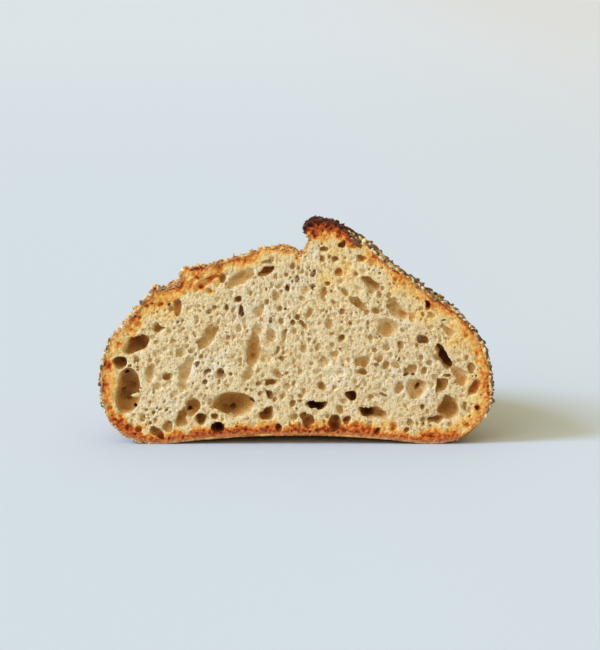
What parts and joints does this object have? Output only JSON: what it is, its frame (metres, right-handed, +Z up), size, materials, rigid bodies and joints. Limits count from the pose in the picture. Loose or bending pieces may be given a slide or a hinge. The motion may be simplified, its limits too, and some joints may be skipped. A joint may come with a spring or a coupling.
{
  "type": "seeded spelt loaf half",
  "caption": "Cut half of a seeded spelt hearth loaf: open crumb on the cut face, a scored and raised ear along the top, seeds on a rounded browned crust.",
  "frame": {"origin": "middle of the box round the loaf, on the level it stands on", "axes": "+X across the cut face, -Y out of the cut face, +Y towards the rounded end, +Z up"},
  "size_m": [0.18, 0.125, 0.1035],
  "materials": {
    "crust": "matt browned crust, golden in the open score, nearly black on the crest of the ear"
  },
  "bodies": {
    "root": {"loaf": "crust"}
  },
  "joints": []
}
